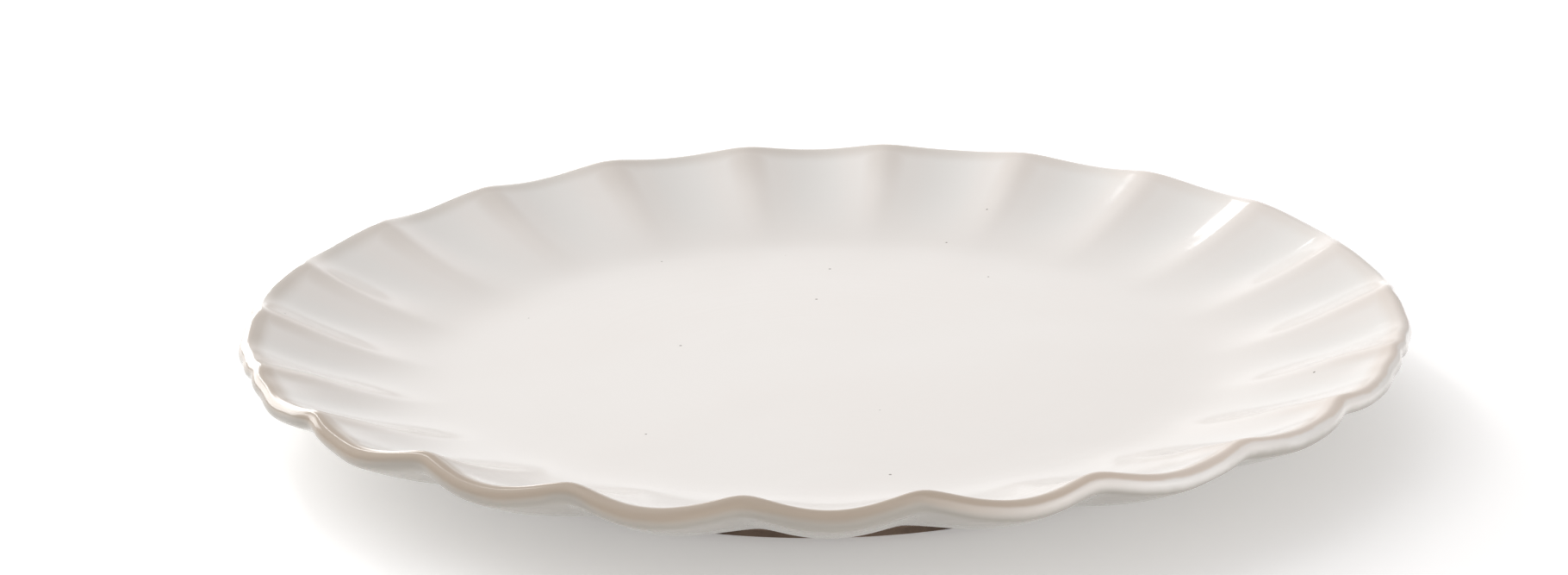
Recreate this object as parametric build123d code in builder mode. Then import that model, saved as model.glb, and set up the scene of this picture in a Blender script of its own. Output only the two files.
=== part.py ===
from build123d import *
import math
import os

# A round dessert plate in glazed stoneware: a flat well, a fluted wall, and a scalloped rim with
# a rolled edge. Millimetres. +Z is up, +X runs through a cusp between two lobes, and the origin is
# the centre of the foot ring, on the table.

# ---------------------------------------------------------------- driving dimensions
overall_diameter = 220.0  # over the glaze, on the circle through the lobes' tips
rim_height = 22.0  # from the table to the top of the glaze on a cusp
scallop_count = 22  # lobes round the rim, each with one flute below it
scallop_depth = 2.7  # a cusp between two lobes lies this far inside the lobes' tips
scallop_roundness = 0.10  # 0 gives a sharp cusp, and 1 a plain wave
rim_dip = 1.9  # the rim sinks this far from a cusp to the middle of a lobe
rim_dip_roundness = 0.28  # the same easing for the dip
rim_thickness = 3.3  # clay at the rolled edge

well_diameter = 148.0  # clay at the bottom of the wall's face
well_height = 9.2  # from the table to the clay in the well
well_easing = 1.5  # width of the soft turn from the well into the wall
face_slope = 0.21  # rise over run where the face leaves the well
rim_slope = 0.57  # rise over run where the face meets the rolled edge
flute_fade = 1.3  # a flute deepens as this power of the way up the wall
floor_thickness = 5.2  # clay under the well

foot_diameter = 136.0  # outside of the foot ring, on the table
foot_width = 3.2  # clay across the foot ring, on the table
foot_lean = 14.0  # degrees that both sides of the foot ring lean out of the vertical
foot_rounding = 1.2  # hollow where the foot ring meets the base
foot_edge_rounding = 0.6  # both edges of the foot ring's contact face
heel_width = 1.8  # flat base from the foot ring's rounding to the wall's underside
heel_slope = 0.34  # rise over run where the underside leaves the base
under_slope = 0.57  # rise over run where the underside meets the rolled edge

glaze_thickness = 0.3
bare_height = 1.8  # the glaze ends this far above the table on both sides of the foot ring

# Steps of the surface. They set how finely a curve is followed, and not its shape.
steps_per_lobe = 8
wall_steps = 9
lip_steps = 10
rounding_steps = 4

# ---------------------------------------------------------------- derived sizes
lip_radius = rim_thickness / 2
cusp_radius = overall_diameter / 2 - glaze_thickness - lip_radius - scallop_depth
lip_height = rim_height - glaze_thickness - lip_radius
rim_turn = math.degrees(math.atan(rim_slope))
under_turn = math.degrees(math.atan(under_slope))

well_radius = well_diameter / 2
base_height = well_height - floor_thickness
foot_outer_radius = foot_diameter / 2
foot_inner_radius = foot_outer_radius - foot_width
lean_sine = math.sin(math.radians(foot_lean))
lean_cosine = math.cos(math.radians(foot_lean))
hollow_height = base_height - foot_rounding
hollow_radius = foot_outer_radius + (foot_rounding + hollow_height * lean_sine) / lean_cosine
heel_radius = hollow_radius + heel_width


# ---------------------------------------------------------------- stations round the clay
# A station is a radius, a height, and the direction in degrees that the clay faces there: 90 is
# straight up and 0 straight out.
def eased_wave(turn, roundness):
    """Height of a wave that is 0 on every cusp and 1 in the middle of every lobe."""
    swing = math.hypot(math.sin(turn / 2), roundness) - roundness
    return swing / (math.hypot(1, roundness) - roundness)


def arc_stations(radius, height, rounding, first, last, steps):
    """Stations on an arc, which is a hollow where rounding is negative."""
    stations = []
    for step in range(steps + 1):
        direction = first + (last - first) * step / steps
        across = rounding * math.cos(math.radians(direction))
        up = rounding * math.sin(math.radians(direction))
        stations.append((radius + across, height + up, direction))
    return stations


def wall_stations(inner, outer, inner_slope, outer_slope, sink, facing):
    """Stations along one side of the wall, between its inner and outer ends.

    The side leaves with inner_slope and arrives with outer_slope, and it sinks by sink on the way.
    """
    run = outer[0] - inner[0]
    rise = outer[1] - inner[1]
    start = inner_slope * run / rise
    end = (outer_slope * run + flute_fade * sink) / rise
    cubed = start + end - 2
    squared = 3 - 2 * start - end
    stations = []
    for step in range(1, wall_steps):
        share = step / wall_steps
        bend = cubed * share**3 + squared * share**2 + start * share
        steepness = 3 * cubed * share**2 + 2 * squared * share + start
        height = inner[1] + rise * bend - sink * share**flute_fade
        slope = (rise * steepness - sink * flute_fade * share ** (flute_fade - 1)) / run
        stations.append((inner[0] + run * share, height, facing + math.degrees(math.atan(slope))))
    return stations


def glazed_stations(turn):
    """From the well, over the rim and under it, to where the glaze ends on the foot ring.

    turn is 0 on a cusp and grows by a full turn for each lobe.
    """
    lip_centre = cusp_radius + scallop_depth * eased_wave(turn, scallop_roundness)
    sink = rim_dip * eased_wave(turn, rim_dip_roundness)
    well = [(well_radius - well_easing, well_height, 90)]
    lip = arc_stations(
        lip_centre, lip_height, lip_radius, 90 + rim_turn, under_turn - 90, lip_steps
    )
    face = wall_stations(
        (well_radius, well_height), lip[0][:2], face_slope, rim_slope, sink, 90
    )
    underside = wall_stations(
        (heel_radius, base_height), lip[-1][:2], heel_slope, under_slope, sink, -90
    )
    lip = [(radius, height - sink, direction) for radius, height, direction in lip]
    hollow = arc_stations(
        hollow_radius, hollow_height, -foot_rounding, -90, -foot_lean, rounding_steps
    )
    glaze_end = (
        foot_outer_radius + bare_height * lean_sine / lean_cosine, bare_height, -foot_lean
    )
    heel = [(heel_radius, base_height, -90)]
    return well + face + lip + underside[::-1] + heel + hollow + [glaze_end]


def bare_stations():
    """From below the glaze, round the outer edge of the foot ring, to its contact face."""
    edge_radius = foot_outer_radius - foot_edge_rounding * (1 - lean_sine) / lean_cosine
    return arc_stations(
        edge_radius, foot_edge_rounding, foot_edge_rounding, -foot_lean, -90, rounding_steps
    )


def grown(stations, skin):
    """The same stations, moved by skin the way they face."""
    moved = []
    for radius, height, direction in stations:
        across = skin * math.cos(math.radians(direction))
        up = skin * math.sin(math.radians(direction))
        moved.append((radius + across, height + up, direction))
    return moved


def turned_solid(stations_at):
    """A solid through the rings that the stations draw as they go once round the plate."""
    ring_steps = scallop_count * steps_per_lobe
    shares = [step / ring_steps for step in range(ring_steps + 1)]
    columns = []
    for share in shares[:-1]:
        angle = 2 * math.pi * share
        stations = stations_at(angle * scallop_count)
        columns.append([(r * math.cos(angle), r * math.sin(angle), h) for r, h, _ in stations])
    rings = []
    for points in zip(*columns):
        with BuildLine() as ring:
            add(Edge.make_spline(points, periodic=True, parameters=shares))
        rings.append(ring.wire())
    return Solid.make_loft(rings, ruled=True)


def clay_outline(turn):
    return glazed_stations(turn) + bare_stations()


def coat_outline(turn):
    stations = glazed_stations(turn)
    return grown(stations, glaze_thickness) + stations[::-1]


# ---------------------------------------------------------------- the space in the foot ring
def recess_profile(skin):
    """Half of the space inside the foot ring, with skin taken off its walls."""
    mouth_radius = foot_inner_radius + foot_edge_rounding * (1 - lean_sine) / lean_cosine
    top = base_height - skin
    corner_radius = foot_inner_radius - (skin + top * lean_sine) / lean_cosine
    with BuildSketch(Plane.XZ) as profile:
        with BuildLine():
            mouth = CenterArc(
                (mouth_radius, foot_edge_rounding), foot_edge_rounding + skin, 270, foot_lean - 90
            )
            Polyline(mouth @ 1, (corner_radius, top), (0, top), (0, -skin), mouth @ 0)
        make_face()
        corner = profile.vertices().group_by(Axis.Y)[-1].sort_by(Axis.X)[-1]
        fillet(corner, foot_rounding - skin)
    return profile.sketch


# ---------------------------------------------------------------- fired clay
with BuildPart() as stoneware_body:
    add(turned_solid(clay_outline))
    revolve(recess_profile(0), axis=Axis.Z, mode=Mode.SUBTRACT)
stoneware_body.part.label = "stoneware_body"

# ---------------------------------------------------------------- glaze over the face, the rim
# and the underside, and down the outside of the foot ring
with BuildPart() as glaze_coat:
    add(turned_solid(coat_outline))
glaze_coat.part.label = "glaze_coat"

# ---------------------------------------------------------------- glaze inside the foot ring
with BuildPart() as base_glaze:
    with BuildSketch(Plane.XZ) as glaze_profile:
        add(recess_profile(0))
        add(recess_profile(glaze_thickness), mode=Mode.SUBTRACT)
        with Locations((0, bare_height)):
            Rectangle(foot_diameter, foot_diameter, align=(Align.MIN, Align.MAX), mode=Mode.SUBTRACT)
    revolve(axis=Axis.Z)
base_glaze.part.label = "base_glaze"

# ---------------------------------------------------------------- files
os.makedirs("parts", exist_ok=True)
for piece in (stoneware_body, glaze_coat, base_glaze):
    export_step(piece.part, f"parts/{piece.part.label}.step")
    print(piece.part.label, round(piece.part.volume, 1), len(piece.part.solids()), "solid")
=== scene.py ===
"""Scalloped dessert plate in glazed stoneware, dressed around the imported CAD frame.

Metres. +Z is up, +X runs through a cusp between two lobes of the rim, and the origin is the
centre of the foot ring, on the table. The camera looks along +Y, with +X to its right. The clay
is modelled as one lobe's strip, which is turned round the axis, pressed uneven in places as by
hand, and smoothed. The glaze is grown on the clay.
"""
import math
from collections import namedtuple

import bmesh
import bpy
from mathutils import Matrix, Vector


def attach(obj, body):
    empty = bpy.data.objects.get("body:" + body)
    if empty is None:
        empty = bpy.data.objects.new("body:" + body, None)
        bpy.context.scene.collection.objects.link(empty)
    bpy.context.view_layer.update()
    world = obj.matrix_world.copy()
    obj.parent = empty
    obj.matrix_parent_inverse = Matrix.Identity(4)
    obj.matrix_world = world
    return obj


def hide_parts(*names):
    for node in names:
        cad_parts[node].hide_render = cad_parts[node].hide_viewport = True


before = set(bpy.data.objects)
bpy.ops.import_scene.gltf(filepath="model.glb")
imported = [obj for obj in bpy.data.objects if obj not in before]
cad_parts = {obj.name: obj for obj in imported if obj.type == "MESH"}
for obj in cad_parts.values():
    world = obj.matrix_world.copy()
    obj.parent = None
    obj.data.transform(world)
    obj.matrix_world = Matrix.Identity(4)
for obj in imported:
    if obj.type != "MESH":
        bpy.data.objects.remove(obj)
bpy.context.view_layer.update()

MM = 0.001
FULL_TURN = 2 * math.pi
QUARTER = math.pi / 2

# ------------------------------------------------------------------ sizes of the clay
rim_radius = 109.7 * MM  # the circle through the lobes' tips
rim_top = 21.7 * MM  # the top of a cusp
scallops = 22
scallop_depth = 2.7 * MM
scallop_roundness = 0.10
rim_dip = 1.9 * MM
rim_dip_roundness = 0.28
lip_radius = 1.65 * MM
rim_slope = 0.57
under_slope = 0.57
well_radius = 74.0 * MM
well_height = 9.2 * MM
well_easing = 1.5 * MM
face_slope = 0.21
flute_fade = 1.3
base_height = 4.0 * MM
foot_radius = 68.0 * MM
foot_width = 3.2 * MM
foot_lean = math.radians(14)
foot_rounding = 1.2 * MM
foot_edge = 0.6 * MM
heel_width = 1.8 * MM
heel_slope = 0.34
bare_height = 1.8 * MM
glaze_thickness = 0.3 * MM

# Where the rim was left uneven by hand: the turn in cusps from +X, how far out and how far up it
# was pressed there, and how far round that the clay followed, in millimetres.
HAND_PRESSED = (
    (0, 0.8, 0, 8),
    (0.5, 0, -0.5, 16),
    (1, 0, -0.4, 24),
    (4.5, 0, 0.4, 14),
    (7.5, 0, -0.3, 14),
    (8, 0.2, -0.6, 28),
    (8.5, 0, -0.3, 14),
    (9, 0, -0.7, 28),
    (10, 0.2, -0.5, 26),
    (11, 0.8, 0, 8),
    (12, 1.8, -0.7, 9),
    (13, 1.2, -0.2, 10),
    (16, -0.6, 0, 18),
    (16.8, -1.8, 0, 30),
    (19, 1.2, -0.3, 10),
    (20, 0.9, -1.0, 13),
    (21, 1.8, -0.9, 9),
)
fingertip = 3 * MM  # what is this near to the spot that is pressed moves as one

# ------------------------------------------------------------------ how finely it is modelled
columns = 16  # edges of the cage along one lobe
wall_steps = 8
lip_steps = 8
rounding_steps = 3
well_rings = (0.3, 0.6, 0.85)  # shares of the well's radius
base_rings = (0.96, 0.7, 0.35)  # shares of the radius where the recess is rounded
same_ring = 0.001 * MM  # distances from the crest this near to each other are one ring's
same_point = 0.002 * MM  # points this near to each other are merged
crease_angle = math.radians(50)  # the glaze stays crisp where it ends more sharply than this


# ------------------------------------------------------------------ working by hand
def only(thing):
    """Take one object alone in hand."""
    bpy.ops.object.select_all(action="DESELECT")
    thing.select_set(True)
    bpy.context.view_layer.objects.active = thing


def pick(thing, wanted, part="verts"):
    """In edit mode, select the vertices, edges or faces that are wanted, and nothing else."""
    bpy.ops.mesh.select_mode(type={"verts": "VERT", "edges": "EDGE", "faces": "FACE"}[part])
    bpy.ops.mesh.select_all(action="DESELECT")
    mesh = bmesh.from_edit_mesh(thing.data)
    for element in getattr(mesh, part):
        if wanted(element):
            element.select_set(True)
    mesh.select_flush_mode()
    bmesh.update_edit_mesh(thing.data)


def close_seams():
    """In edit mode, merge the points that meet and turn every face outwards. Then leave it."""
    bpy.ops.mesh.select_all(action="SELECT")
    bpy.ops.mesh.remove_doubles(threshold=same_point)
    bpy.ops.mesh.normals_make_consistent(inside=False)
    bpy.ops.object.mode_set(mode="OBJECT")


# ------------------------------------------------------------------ the profile over a cusp
# out is the share of the scallops that a ring takes as it goes from a cusp to the middle of a
# lobe, lift how far it rises for each metre of that, and drop the share of the rim's dip.
Ring = namedtuple("Ring", "radius height out lift drop")


def plain(radius, height):
    """A ring that is a true circle."""
    return Ring(radius, height, 0, 0, 0)


def arc(radius, height, rounding, first, last, steps, share=0):
    """Rings on an arc from one facing direction to another, hollow if rounding is negative."""
    rings = []
    for step in range(steps + 1):
        facing = first + (last - first) * step / steps
        across = rounding * math.cos(facing)
        up = rounding * math.sin(facing)
        rings.append(Ring(radius + across, height + up, share, 0, share))
    return rings


def wall(inner, outer, inner_slope, outer_slope):
    """Rings along one side of the wall, which leaves and arrives with the given slopes."""
    run = outer.radius - inner.radius
    rise = outer.height - inner.height
    rings = []
    for step in range(1, wall_steps):
        share = step / wall_steps
        leaving = share**3 - 2 * share**2 + share
        arriving = share**3 - share**2
        lift = inner_slope * leaving + outer_slope * arriving
        height = inner.height + rise * (3 * share**2 - 2 * share**3) + run * lift
        drop = share**flute_fade - flute_fade * arriving
        rings.append(Ring(inner.radius + run * share, height, share, lift, drop))
    return rings


def profile():
    """The rings from the middle of the well, over the rim, to the middle of the base."""
    lip = arc(
        rim_radius - lip_radius - scallop_depth,
        rim_top - lip_radius,
        lip_radius,
        QUARTER + math.atan(rim_slope),
        math.atan(under_slope) - QUARTER,
        lip_steps,
        share=1,
    )
    splay = math.tan(foot_lean)
    hollow_height = base_height - foot_rounding
    hollow_reach = hollow_height * splay + foot_rounding / math.cos(foot_lean)
    edge_inset = foot_edge * (1 - math.sin(foot_lean)) / math.cos(foot_lean)
    inside = foot_radius - foot_width
    inward = foot_lean - 2 * QUARTER  # the way that the inside of the foot ring faces
    hollow = arc(
        foot_radius + hollow_reach,
        hollow_height,
        -foot_rounding,
        -QUARTER,
        -foot_lean,
        rounding_steps,
    )
    outer_edge = arc(
        foot_radius - edge_inset, foot_edge, foot_edge, -foot_lean, -QUARTER, rounding_steps
    )
    inner_edge = arc(inside + edge_inset, foot_edge, foot_edge, -QUARTER, inward, rounding_steps)
    recess = arc(
        inside - hollow_reach, hollow_height, -foot_rounding, inward, -QUARTER, rounding_steps
    )
    edge = plain(well_radius, well_height)
    heel = plain(hollow[0].radius + heel_width, base_height)
    well = [plain(well_radius * share, well_height) for share in well_rings]
    well.append(plain(well_radius - well_easing, well_height))
    base = [plain(recess[-1].radius * share, base_height) for share in base_rings]
    return (
        well
        + wall(edge, lip[0], face_slope, rim_slope)
        + lip
        + wall(heel, lip[-1], heel_slope, under_slope)[::-1]
        + [heel]
        + hollow
        + [plain(foot_radius + bare_height * splay, bare_height)]
        + outer_edge
        + inner_edge
        + [plain(inside - bare_height * splay, bare_height)]
        + recess
        + base
    )


def eased_wave(turn, roundness):
    """0 on every cusp and 1 in the middle of every lobe."""
    swing = math.hypot(math.sin(turn / 2), roundness) - roundness
    return swing / (math.hypot(1, roundness) - roundness)


def spot(ring, column):
    """Where a ring stands on a column of the lobe's strip: its radius and its height."""
    turn = FULL_TURN * column / columns
    reach = scallop_depth * eased_wave(turn, scallop_roundness)
    sink = rim_dip * eased_wave(turn, rim_dip_roundness)
    return (
        ring.radius + ring.out * reach,
        ring.height + ring.lift * reach - ring.drop * sink,
    )


# ------------------------------------------------------------------ the clay body
def column_of(point):
    """A point's column: 0 on the strip's first cusp, and columns on its last."""
    return math.atan2(point.y, point.x) * scallops * columns / FULL_TURN


def distances_from_crest(rings):
    """How far each ring is from the top of the rim along the profile, less than 0 inside it."""
    along = [0]
    for here, there in zip(rings, rings[1:]):
        along.append(along[-1] + math.dist(here[:2], there[:2]))
    crest = max(range(len(rings)), key=lambda number: rings[number].height)
    return [distance - along[crest] for distance in along]


def draw_ring(strip, distance):
    """Extrude the picked edges, and write the new ring's distance from the crest on it."""
    bpy.ops.mesh.extrude_edges_move()
    mesh = bmesh.from_edit_mesh(strip.data)
    marks = mesh.verts.layers.float["from_crest"]
    for vertex in mesh.verts:
        if vertex.select:
            vertex[marks] = distance


def pick_ring(strip, distance, wanted_columns=None):
    """Select the ring with that distance from the crest, or only some of its columns."""
    mesh = bmesh.from_edit_mesh(strip.data)
    marks = mesh.verts.layers.float["from_crest"]
    pick(
        strip,
        lambda vertex: abs(vertex[marks] - distance) < same_ring
        and (wanted_columns is None or round(column_of(vertex.co)) in wanted_columns),
    )


def model_strip(rings):
    """One lobe from cusp to cusp, drawn ring by ring from the well to the base."""
    distances = distances_from_crest(rings)
    bpy.ops.object.select_all(action="DESELECT")
    bpy.ops.mesh.primitive_circle_add(
        vertices=scallops * columns, radius=rings[0].radius, location=(0, 0, rings[0].height)
    )
    strip = bpy.context.object
    bpy.ops.object.transform_apply(location=True, rotation=False, scale=False)
    strip.data.attributes.new("from_crest", "FLOAT", "POINT")
    bpy.ops.object.mode_set(mode="EDIT")
    pick(strip, lambda vertex: not -0.5 < column_of(vertex.co) < columns + 0.5)
    bpy.ops.mesh.delete(type="VERT")

    mesh = bmesh.from_edit_mesh(strip.data)
    marks = mesh.verts.layers.float["from_crest"]
    for vertex in mesh.verts:
        vertex[marks] = distances[0]
    for number in range(1, len(rings)):
        pick_ring(strip, distances[number - 1])
        draw_ring(strip, distances[number])
        for column in range(columns // 2 + 1):
            pick_ring(strip, distances[number], (column, columns - column))
            radius, height = spot(rings[number - 1], column)
            new_radius, new_height = spot(rings[number], column)
            scale = new_radius / radius
            bpy.ops.transform.resize(value=(scale, scale, 1), center_override=(0, 0, 0))
            bpy.ops.transform.translate(value=(0, 0, new_height - height))
    bpy.ops.object.mode_set(mode="OBJECT")
    return strip


def turn_plate(strip):
    """Turn the lobe's strip round the axis."""
    only(strip)
    bpy.ops.object.mode_set(mode="EDIT")
    bpy.ops.mesh.select_all(action="SELECT")
    bpy.ops.mesh.spin(
        steps=scallops - 1,
        dupli=True,
        angle=FULL_TURN * (scallops - 1) / scallops,
        center=(0, 0, 0),
        axis=(0, 0, 1),
    )
    close_seams()


def nudge(plate, turn, outward, upward, reach):
    """Press the rim by hand at a cusp, or between two, and let the clay round it follow.

    turn counts cusps from +X, and the three other values are in millimetres.
    """
    angle = FULL_TURN * turn / scallops
    out = Vector((math.cos(angle), math.sin(angle), 0))
    crest = rim_radius - scallop_depth * abs(math.cos(math.pi * turn))
    spot_pressed = out * crest + Vector((0, 0, rim_top))
    only(plate)
    bpy.ops.object.mode_set(mode="EDIT")
    pick(plate, lambda vertex: (vertex.co - spot_pressed).length < fingertip)
    bpy.ops.transform.translate(
        value=out * outward * MM + Vector((0, 0, upward * MM)),
        use_proportional_edit=True,
        proportional_edit_falloff="SMOOTH",
        proportional_size=reach * MM,
    )
    bpy.ops.object.mode_set(mode="OBJECT")


def smooth(piece, levels):
    """Round off the cage that the piece was modelled with."""
    only(piece)
    bpy.ops.object.modifier_add(type="SUBSURF")
    rounding = piece.modifiers[-1]
    rounding.levels = levels
    rounding.render_levels = levels
    bpy.ops.object.modifier_apply(modifier=rounding.name)
    bpy.ops.object.shade_smooth()


def close_middle(plate):
    """Draw the open rings in the middle of the well and of the base in to the axis."""
    only(plate)
    bpy.ops.object.mode_set(mode="EDIT")
    pick(plate, lambda edge: edge.is_boundary, "edges")
    bpy.ops.mesh.extrude_edges_move()
    bpy.ops.transform.resize(value=(0, 0, 1), center_override=(0, 0, 0))
    close_seams()


body = model_strip(profile())
body.name = "fired_body"
turn_plate(body)
for pressed in HAND_PRESSED:
    nudge(body, *pressed)
smooth(body, levels=1)
close_middle(body)


# ------------------------------------------------------------------ the glaze
def glaze_over(clay):
    """The glaze on the clay: one skin in the foot ring, and one over the face and the back."""
    only(clay)
    bpy.ops.object.duplicate()
    skin = bpy.context.object
    bpy.ops.object.mode_set(mode="EDIT")
    pick(skin, lambda face: face.calc_center_median().z < bare_height, "faces")
    bpy.ops.mesh.delete(type="FACE")
    bpy.ops.mesh.select_all(action="SELECT")
    bpy.ops.mesh.separate(type="LOOSE")
    bpy.ops.object.mode_set(mode="OBJECT")
    skins = sorted(bpy.context.selected_objects, key=lambda loose: loose.dimensions.x)
    for skin in skins:
        only(skin)
        bpy.ops.object.modifier_add(type="SOLIDIFY")
        coat = skin.modifiers[-1]
        coat.thickness = glaze_thickness
        coat.offset = 1
        bpy.ops.object.modifier_apply(modifier=coat.name)
        bpy.ops.object.shade_smooth_by_angle(angle=crease_angle)
    return skins


recess_glaze, face_glaze = glaze_over(body)
face_glaze.name = "glaze_over_face_and_back"
recess_glaze.name = "glaze_in_foot_ring"


# ------------------------------------------------------------------ making finishes
MIX_SHARE, MIX_FIRST, MIX_SECOND, MIX_RESULT = 0, 6, 7, 2  # a Mix node's sockets for colours


class Recipe:
    """Puts nodes into a material or a group, each with its values, and joins them up."""

    def __init__(self, tree):
        self.tree = tree

    def give(self, socket, value):
        """Set a socket to a value, or join another node's socket to it."""
        if isinstance(value, bpy.types.NodeSocket):
            self.tree.links.new(value, socket)
        else:
            socket.default_value = value

    def add(self, kind, inputs=None, **settings):
        node = self.tree.nodes.new(kind)
        for name, value in settings.items():
            setattr(node, name, value)
        for name, value in (inputs or {}).items():
            self.give(node.inputs[name], value)
        return node

    def ramp(self, value, begins, ends, low=0.0, high=1.0):
        """Eased from low to high while the value goes from where it begins to where it ends."""
        limits = {"From Min": begins, "From Max": ends, "To Min": low, "To Max": high}
        node = self.add(
            "ShaderNodeMapRange", {"Value": value, **limits}, interpolation_type="SMOOTHSTEP"
        )
        return node.outputs["Result"]

    def reckon(self, operation, *values):
        """One step of arithmetic on one or two values."""
        node = self.add("ShaderNodeMath", operation=operation)
        for socket, value in zip(node.inputs, values):
            self.give(socket, value)
        return node.outputs["Value"]

    def plus(self, first, second):
        return self.reckon("ADD", first, second)

    def minus(self, first, second):
        return self.reckon("SUBTRACT", first, second)

    def larger(self, first, second):
        return self.reckon("MAXIMUM", first, second)

    def times(self, first, *others):
        for other in others:
            first = self.reckon("MULTIPLY", first, other)
        return first

    def blend(self, share, first, second):
        """Between two values."""
        return self.plus(first, self.times(self.minus(second, first), share))

    def tint(self, share, first, second):
        """Between two colours."""
        sockets = {MIX_SHARE: share, MIX_FIRST: first, MIX_SECOND: second}
        return self.add("ShaderNodeMix", sockets, data_type="RGBA").outputs[MIX_RESULT]


def new_finish(name, **shader_values):
    """A material whose shader has these plain values, and the recipe that adds nodes to it."""
    finish = bpy.data.materials.new(name)
    finish.use_nodes = True
    shader = finish.node_tree.nodes["Principled BSDF"]
    for socket, value in shader_values.items():
        shader.inputs[socket.replace("_", " ")].default_value = value
    return finish, Recipe(finish.node_tree), shader


def new_group(name, inputs, output):
    """A node group with one output, for an effect that more than one finish has."""
    tree = bpy.data.node_groups.new(name, "ShaderNodeTree")
    for socket, kind in inputs.items():
        tree.interface.new_socket(socket, in_out="INPUT", socket_type=kind)
    tree.interface.new_socket(output, in_out="OUTPUT", socket_type="NodeSocketFloat")
    recipe = Recipe(tree)
    given = recipe.add("NodeGroupInput").outputs
    return tree, recipe, given, recipe.add("NodeGroupOutput").inputs[output]


# ------------------------------------------------------------------ effects of both finishes
SPECK_CORE = 0.5  # share of a speck's radius that is dark all through
NOISE_RANGE = (0.32, 0.68)  # what a noise texture seldom leaves
NOISE_ROUGHNESS = 0.55


def make_iron_specks():
    """Round specks of iron that burn through the surface here and there."""
    inputs = {
        "Place": "NodeSocketVector",
        "Scale": "NodeSocketFloat",
        "Share": "NodeSocketFloat",
        "Size": "NodeSocketFloat",
    }
    tree, recipe, given, mask = new_group("iron_specks", inputs, "Mask")
    spots = recipe.add(
        "ShaderNodeTexVoronoi", {"Vector": given["Place"], "Scale": given["Scale"]}
    ).outputs
    chance = recipe.add("ShaderNodeSeparateColor", {"Color": spots["Color"]}).outputs["Red"]
    chosen = recipe.reckon("LESS_THAN", chance, given["Share"])
    core = recipe.times(given["Size"], SPECK_CORE)
    round_spot = recipe.ramp(spots["Distance"], given["Size"], core)
    recipe.give(mask, recipe.times(chosen, round_spot))
    return tree


def make_mottle():
    """Slow, uneven drifts from 0 to 1, with finer ones in them."""
    inputs = {
        "Place": "NodeSocketVector", "Scale": "NodeSocketFloat", "Detail": "NodeSocketFloat"
    }
    tree, recipe, given, mask = new_group("mottle", inputs, "Mask")
    drift = recipe.add(
        "ShaderNodeTexNoise",
        {
            "Vector": given["Place"],
            "Scale": given["Scale"],
            "Detail": given["Detail"],
            "Roughness": NOISE_ROUGHNESS,
        },
    )
    recipe.give(mask, recipe.ramp(drift.outputs["Fac"], *NOISE_RANGE))
    return tree


iron_specks = make_iron_specks()
mottle = make_mottle()


def mottled(recipe, place, scale, detail=4.0):
    """The mottle with so many drifts to the metre."""
    values = {"Place": place, "Scale": scale, "Detail": detail}
    return recipe.add("ShaderNodeGroup", values, node_tree=mottle).outputs["Mask"]


def specked(recipe, place, scale, share, size):
    """Specks in a share of so many cells to the metre, each of a size within its cell."""
    values = {"Place": place, "Scale": scale, "Share": share, "Size": size}
    return recipe.add("ShaderNodeGroup", values, node_tree=iron_specks).outputs["Mask"]


# ------------------------------------------------------------------ the cream glaze
CREAM = (0.855, 0.83, 0.80, 1)
POOLED_GLAZE = (0.84, 0.83, 0.805, 1)  # thick and cool in the hollows of the flutes
RIDGE_GLAZE = (0.825, 0.78, 0.74, 1)  # thinner and warmer on the ridges
BROKEN_GLAZE = (0.455, 0.373, 0.293, 1)  # the clay shows through it on the rim's edge
WARM_BROKEN_GLAZE = (0.60, 0.44, 0.32, 1)
# painted shade: the underside is coloured darker than its thinner glaze is, for the shade under
# the rim
THIN_GLAZE_AND_UNDERSIDE_SHADE = (0.355, 0.33, 0.29, 1)  # on the underside
# darker towards the table: thin glaze over the brown clay, and painted shade under the plate
GLAZE_END_AND_FOOT_SHADE = (0.20, 0.135, 0.095, 1)  # where it runs out on the foot ring
SPECK = (0.10, 0.07, 0.05, 1)

# Where one look of the glaze passes into another, as the place where that begins, the place where
# it is done and, where they aren't 0 and 1, the strengths at the two. The first eight are along
# the profile from the top of the rim: less than 0 on the face, more on the rim's outside.
FLUTES_BEGIN = (-34 * MM, -12 * MM)
FLUTES_END = (5 * MM, 0.0)
DOWN_RIDGE = (-15 * MM, -1 * MM, 0.0, 0.5)
BROKEN_INSIDE = (-4.0 * MM, 1.0 * MM)
BROKEN_OUTSIDE_SOFT = (4.3 * MM, 2.1 * MM)
BROKEN_OUTSIDE_CRISP = (1.7 * MM, 1.1 * MM)
UNDERSIDE = (1.6 * MM, 3.4 * MM, 0.0, 0.9)
SWELL_FADES = (-5 * MM, -0.5 * MM, 0.35, 0.0)
TOWARDS_CRISP = (0.0, 60 * MM)  # along +X, as are the next two
TOWARDS_WARM = (10 * MM, 80 * MM)
# the band's strength along +X and +Y is partly painted light and shade: fainter to the lit right,
# stronger on the shaded front
FAINTER_AND_LIT_TOWARDS_RIGHT = (10 * MM, 80 * MM, 1.0, 0.45)
BROKEN_AND_SHADED_TOWARDS_FRONT = (60 * MM, -80 * MM, 0.36, 0.95)  # along +Y
RUN_OUT_AND_SHADE = (3.8 * MM, 2.0 * MM)  # up from the table
ON_RIDGE = (0.45, 1.0)  # of a wave that is 1 on a ridge and -1 in the hollow of a flute
IN_HOLLOW = (0.2, -0.9)

BAND_WANDERS = 0.35 * MM  # how far the broken band strays to each side
CRISP_UNDERSIDE_SHIFT = 0.4 * MM  # how much further round the rim the underside begins at +X
CREAM_UNEVEN = 0.3  # how far the cream takes the ridges' colour where it drifts
POOLED = 0.7  # how far each place takes the colour that it is named for
THIN_ON_RIDGE = 0.6
SPECK_SHOWS = 0.8
GLOSS = (0.07, 0.13)  # the least and the most roughness
BROKEN_IS_ROUGHER = 0.06
SWELL_DEPTH = 0.16 * MM
RUN_RING_SHARE = 0.10  # depth of the run rings and of the orange peel for each 1 of the swell's
PEEL_SHARE = 0.012

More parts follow.
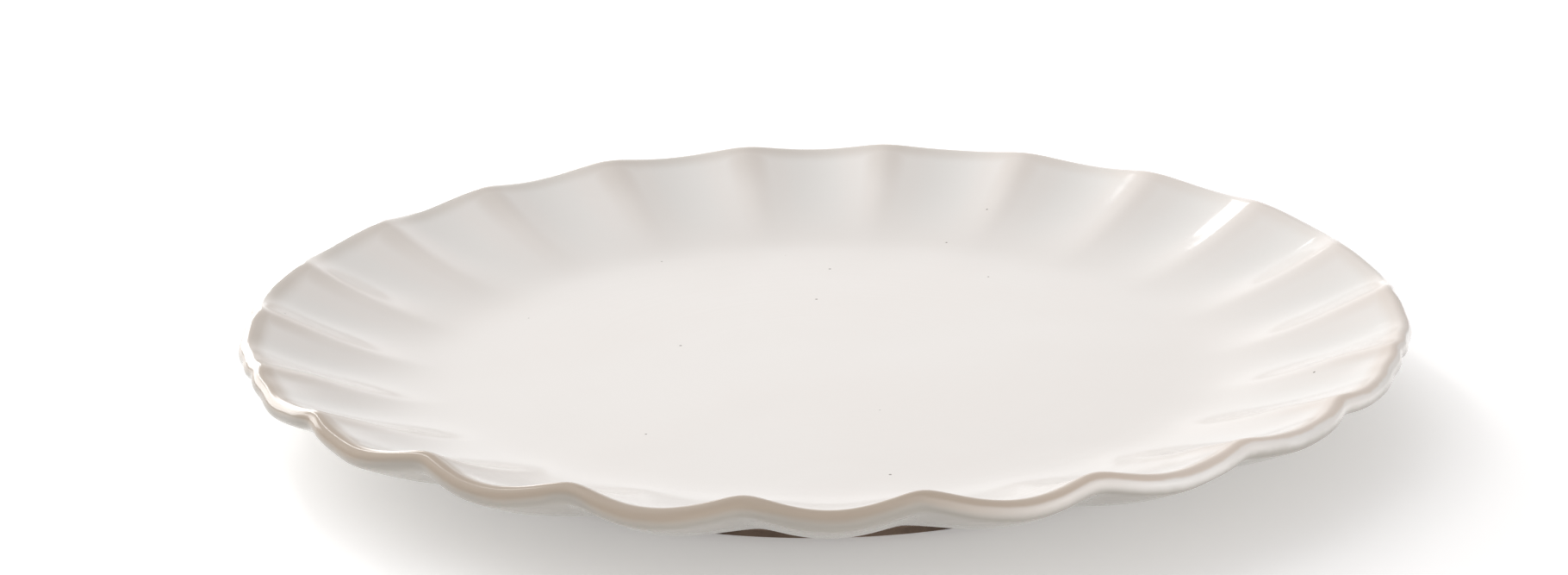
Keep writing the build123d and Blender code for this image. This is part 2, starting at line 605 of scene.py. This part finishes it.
# how many drifts there are to the metre
CREAM_DRIFTS = 22.0
BAND_DRIFTS = 45.0
GLOSS_DRIFTS = 160.0
SWELL_DRIFTS = 38.0
PEEL_DRIFTS = 900.0
RUN_RINGS_ALONG = 420.0  # along the profile, so that they run round the plate
RUN_RINGS_ROUND = 24.0

SCATTERED_SPECKS = {"scale": 120.0, "share": 0.25, "size": 0.035}
# the specks that show in the well and on the wall: their X, Y and Z in millimetres
SEEN_SPECKS = (
    (-102.5, 6.5, 19),
    (2, 57, 9.5),
    (-1, 37.5, 9.5),
    (-27.5, 10.5, 9.5),
    (10.5, -62, 9.5),
    (89, -29.5, 15.5),
)
SEEN_SPECK_EDGE = (0.36 * MM, 0.18 * MM)  # away from the speck's middle


def ridges_and_hollows(recipe, across, from_crest):
    """Two masks: the ridges that run down from the cusps, and the flutes between them."""
    angle = recipe.reckon("ARCTAN2", across["Y"], across["X"])
    wave = recipe.reckon("COSINE", recipe.times(angle, scallops))
    beside_well = recipe.ramp(from_crest, *FLUTES_BEGIN)
    beside_rim = recipe.ramp(from_crest, *FLUTES_END)
    fluted = recipe.times(beside_well, beside_rim)
    ridge = recipe.times(recipe.ramp(wave, *ON_RIDGE), fluted)
    hollow = recipe.times(recipe.ramp(wave, *IN_HOLLOW), fluted)
    return ridge, hollow


def broken_band_and_shade(recipe, edge, crisp, across, from_crest, ridge):
    """Where the glaze breaks over the rim's edge.

    It is strongest at the front, partly as painted shade, and weakest at the back. On the +X side
    the band is narrower, has a crisp outer edge, and is fainter, partly as painted light.
    """
    outside = recipe.blend(
        crisp,
        recipe.ramp(edge, *BROKEN_OUTSIDE_SOFT),
        recipe.ramp(edge, *BROKEN_OUTSIDE_CRISP),
    )
    down_ridge = recipe.times(recipe.ramp(from_crest, *DOWN_RIDGE), ridge)
    inside = recipe.larger(recipe.ramp(edge, *BROKEN_INSIDE), down_ridge)
    # painted shade and light in part: the band is darker towards the front and lighter towards +X
    strength = recipe.times(
        recipe.ramp(across["Y"], *BROKEN_AND_SHADED_TOWARDS_FRONT),
        recipe.ramp(across["X"], *FAINTER_AND_LIT_TOWARDS_RIGHT),
    )
    return recipe.times(inside, outside, strength)


def specks_in_glaze(recipe, place):
    """The specks that a pattern scatters, and those that show in their own places."""
    specks = specked(recipe, place, **SCATTERED_SPECKS)
    for x, y, z in SEEN_SPECKS:
        away = recipe.add(
            "ShaderNodeVectorMath",
            {0: place, 1: (x * MM, y * MM, z * MM)},
            operation="DISTANCE",
        ).outputs["Value"]
        specks = recipe.larger(specks, recipe.ramp(away, *SEEN_SPECK_EDGE))
    return specks


def glaze_relief(recipe, place, across, from_crest):
    """A slow swell, the faint rings that the glaze ran in, and a fine orange peel.

    They fade towards the rim, which is smooth.
    """
    swell = mottled(recipe, place, SWELL_DRIFTS, detail=1.0)
    stretched = recipe.add(
        "ShaderNodeCombineXYZ",
        {
            "X": recipe.times(from_crest, RUN_RINGS_ALONG),
            "Y": recipe.times(across["X"], RUN_RINGS_ROUND),
            "Z": recipe.times(across["Y"], RUN_RINGS_ROUND),
        },
    ).outputs["Vector"]
    run_rings = mottled(recipe, stretched, scale=1.0, detail=1.5)
    peel = mottled(recipe, place, PEEL_DRIFTS)
    height = recipe.plus(swell, recipe.times(run_rings, RUN_RING_SHARE))
    height = recipe.plus(height, recipe.times(peel, PEEL_SHARE))
    strength = recipe.ramp(from_crest, *SWELL_FADES)
    relief = {"Height": height, "Strength": strength, "Distance": SWELL_DEPTH}
    return recipe.add("ShaderNodeBump", relief).outputs["Normal"]


def make_cream_glaze():
    finish, recipe, shader = new_finish("cream_glaze", Roughness=0.12, IOR=1.5)
    place = recipe.add("ShaderNodeTexCoord").outputs["Object"]
    across = recipe.add("ShaderNodeSeparateXYZ", {"Vector": place}).outputs
    from_crest = recipe.add("ShaderNodeAttribute", attribute_name="from_crest").outputs["Fac"]

    # pooled in the flutes and thin on the ridges between them
    ridge, hollow = ridges_and_hollows(recipe, across, from_crest)
    drift = recipe.times(mottled(recipe, place, CREAM_DRIFTS), CREAM_UNEVEN)
    colour = recipe.tint(drift, CREAM, RIDGE_GLAZE)
    colour = recipe.tint(recipe.times(hollow, POOLED), colour, POOLED_GLAZE)
    colour = recipe.tint(recipe.times(ridge, THIN_ON_RIDGE), colour, RIDGE_GLAZE)

    # broken over the rim's edge, in a band that wanders a little, with painted shade towards the
    # front and painted light towards +X
    wander = mottled(recipe, place, BAND_DRIFTS)
    wander = recipe.ramp(wander, 0.0, 1.0, -BAND_WANDERS, BAND_WANDERS)
    edge = recipe.plus(from_crest, wander)
    crisp = recipe.ramp(across["X"], *TOWARDS_CRISP)
    broken_and_shaded = broken_band_and_shade(recipe, edge, crisp, across, from_crest, ridge)
    warm = recipe.ramp(across["X"], *TOWARDS_WARM)
    colour = recipe.tint(broken_and_shaded, colour, recipe.tint(warm, BROKEN_GLAZE, WARM_BROKEN_GLAZE))

    # thinner on the underside, with painted shade there, and run out on the foot ring, with
    # painted shade towards the table
    under_edge = recipe.minus(edge, recipe.times(crisp, CRISP_UNDERSIDE_SHIFT))
    colour = recipe.tint(recipe.ramp(under_edge, *UNDERSIDE), colour, THIN_GLAZE_AND_UNDERSIDE_SHADE)
    colour = recipe.tint(recipe.ramp(across["Z"], *RUN_OUT_AND_SHADE), colour, GLAZE_END_AND_FOOT_SHADE)
    specks = recipe.times(specks_in_glaze(recipe, place), SPECK_SHOWS)
    colour = recipe.tint(specks, colour, SPECK)
    recipe.give(shader.inputs["Base Color"], colour)

    # glossy, and a little less so where it breaks
    gloss = recipe.ramp(mottled(recipe, place, GLOSS_DRIFTS), 0.0, 1.0, *GLOSS)
    gloss = recipe.plus(gloss, recipe.times(broken_and_shaded, BROKEN_IS_ROUGHER))
    recipe.give(shader.inputs["Roughness"], gloss)
    recipe.give(shader.inputs["Normal"], glaze_relief(recipe, place, across, from_crest))
    return finish


# ------------------------------------------------------------------ the bare clay
# painted shade in part: both clay colours are darker than the bare clay is, for the foot ring in
# the shade under the plate
CLAY_DARK = (0.08, 0.05, 0.035, 1)
CLAY_LIGHT = (0.19, 0.135, 0.098, 1)
CLAY_WORN = (0.36, 0.28, 0.22, 1)  # on the contact face of the foot ring
WORN_UP_TO = 0.35 * MM  # above the table
WORN = 0.7  # how far each place takes the colour that it is named for
GRAIN_SHOWS = 0.45
GRAIN_DEPTH = 0.12 * MM
GRAIN_STRENGTH = 0.6
CLAY_ROUGHNESS = (0.75, 0.92)
CLAY_DRIFTS = 60.0  # to the metre, as are the next two
GRAINS = 900.0
WEAR_DRIFTS = 240.0
CLAY_SPECKS = {"scale": 500.0, "share": 0.5, "size": 0.16}


def make_fired_clay():
    finish, recipe, shader = new_finish("fired_clay", Roughness=0.85, IOR=1.45)
    place = recipe.add("ShaderNodeTexCoord").outputs["Object"]
    height_up = recipe.add("ShaderNodeSeparateXYZ", {"Vector": place}).outputs["Z"]
    grain = mottled(recipe, place, GRAINS)
    colour = recipe.tint(mottled(recipe, place, CLAY_DRIFTS), CLAY_DARK, CLAY_LIGHT)
    colour = recipe.tint(recipe.times(grain, GRAIN_SHOWS), colour, CLAY_LIGHT)
    worn = recipe.times(recipe.ramp(height_up, WORN_UP_TO, 0.0), WORN)
    worn = recipe.times(worn, mottled(recipe, place, WEAR_DRIFTS))
    colour = recipe.tint(worn, colour, CLAY_WORN)
    colour = recipe.tint(specked(recipe, place, **CLAY_SPECKS), colour, SPECK)
    recipe.give(shader.inputs["Base Color"], colour)
    recipe.give(shader.inputs["Roughness"], recipe.ramp(grain, 0.0, 1.0, *CLAY_ROUGHNESS))
    relief = {"Height": grain, "Strength": GRAIN_STRENGTH, "Distance": GRAIN_DEPTH}
    bump = recipe.add("ShaderNodeBump", relief)
    recipe.give(shader.inputs["Normal"], bump.outputs["Normal"])
    return finish


cream_glaze = make_cream_glaze()
fired_clay = make_fired_clay()

for piece, finish, slot, node in (
    (body, fired_clay, "fired_clay", "stoneware_body"),
    (face_glaze, cream_glaze, "cream_glaze", "glaze_coat"),
    (recess_glaze, cream_glaze, "cream_glaze", "base_glaze"),
):
    piece.data.materials.clear()
    piece.data.materials.append(finish)
    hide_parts(node)
    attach(piece, "root")


# ------------------------------------------------------------------ floor
floor_width = 12  # metres
bpy.ops.object.select_all(action="DESELECT")
bpy.ops.mesh.primitive_plane_add(size=floor_width, location=(0, 0, 0))
floor = bpy.context.object
floor.name = "floor"
paper, _, _ = new_finish(
    "paper",
    Roughness=0.9,
    Base_Color=(0.93, 0.93, 0.93, 1),
    Emission_Color=(1, 1, 1, 1),
    Emission_Strength=0.28,  # keeps the shadow pale
)
floor.data.materials.append(paper)


# ------------------------------------------------------------------ light
def direction(azimuth, elevation):
    """A unit vector towards an azimuth, from +Y towards +X, and an elevation, in degrees."""
    across = math.radians(azimuth)
    up = math.radians(elevation)
    return Vector(
        (math.sin(across) * math.cos(up), math.cos(across) * math.cos(up), math.sin(up))
    )


light_distance = 1.6  # metres


def softbox(name, azimuth, elevation, width, height, power):
    """A plain rectangular light that faces the plate."""
    lamp = bpy.data.lights.new(name, "AREA")
    lamp.shape = "RECTANGLE"
    lamp.size = width
    lamp.size_y = height
    lamp.energy = power
    box = bpy.data.objects.new(name, lamp)
    bpy.context.scene.collection.objects.link(box)
    towards = direction(azimuth, elevation)
    box.location = towards * light_distance
    box.rotation_euler = towards.to_track_quat("Z", "Y").to_euler()
    return box


softbox("window", azimuth=-42, elevation=18, width=1.3, height=0.66, power=11.0)
softbox("low_window", azimuth=-20, elevation=11, width=0.60, height=0.66, power=4.2)
strip = softbox("strip", azimuth=-37, elevation=42, width=0.10, height=0.95, power=2.4)
strip.rotation_euler.rotate_axis("Z", math.radians(-31))

studio = bpy.data.worlds.new("studio")
studio.use_nodes = True
bpy.context.scene.world = studio
sky = Recipe(studio.node_tree)
looking = sky.add("ShaderNodeTexCoord").outputs["Generated"]


def glow(azimuth, elevation, tightness, strength):
    """A soft round patch of light in the studio, brightest towards one direction."""
    facing = sky.add(
        "ShaderNodeVectorMath",
        {0: looking, 1: direction(azimuth, elevation)},
        operation="DOT_PRODUCT",
    ).outputs["Value"]
    fall = sky.times(sky.minus(facing, 1.0), tightness)
    return sky.times(sky.reckon("EXPONENT", fall), strength)


ceiling = glow(azimuth=-66, elevation=58, tightness=6.0, strength=1.25)
backdrop = glow(azimuth=0, elevation=8, tightness=14.0, strength=0.7)
card = glow(azimuth=122, elevation=4, tightness=14.0, strength=2.3)
fill = glow(azimuth=172, elevation=14, tightness=4.0, strength=0.42)
patches = studio.node_tree.nodes["Background"]
sky.give(patches.inputs["Color"], (1, 1, 1, 1))
sky.give(patches.inputs["Strength"], sky.plus(sky.plus(ceiling, backdrop), sky.plus(card, fill)))
room = sky.add("ShaderNodeBackground", {"Color": (1.0, 0.955, 0.94, 1), "Strength": 0.36})
both = sky.add("ShaderNodeAddShader", {0: patches.outputs[0], 1: room.outputs[0]})
sky.give(studio.node_tree.nodes["World Output"].inputs["Surface"], both.outputs[0])

# ------------------------------------------------------------------ camera
picture_width = 1820  # pixels
focal_length = 4770  # pixels
film_width = 36  # millimetres
camera_distance = 775.8 * MM
camera_elevation = 18.13  # degrees
plate_turn = 0.64  # degrees
aim_height = 22 * MM
camera_swing = (("Y", 0.550), ("X", 0.155), ("Z", -0.911))  # off the aim, in degrees

away = direction(180 + plate_turn, camera_elevation)
camera = bpy.data.objects.new("camera", bpy.data.cameras.new("camera"))
bpy.context.scene.collection.objects.link(camera)
camera.data.sensor_width = film_width
camera.data.lens = film_width * focal_length / picture_width
camera.location = Vector((0, 0, aim_height)) + away * camera_distance
look = away.to_track_quat("Z", "Y").to_matrix()
for axis, degrees in camera_swing:
    look = look @ Matrix.Rotation(math.radians(degrees), 3, axis)
camera.rotation_euler = look.to_euler()
bpy.context.scene.camera = camera
bpy.context.scene.view_settings.view_transform = "Standard"
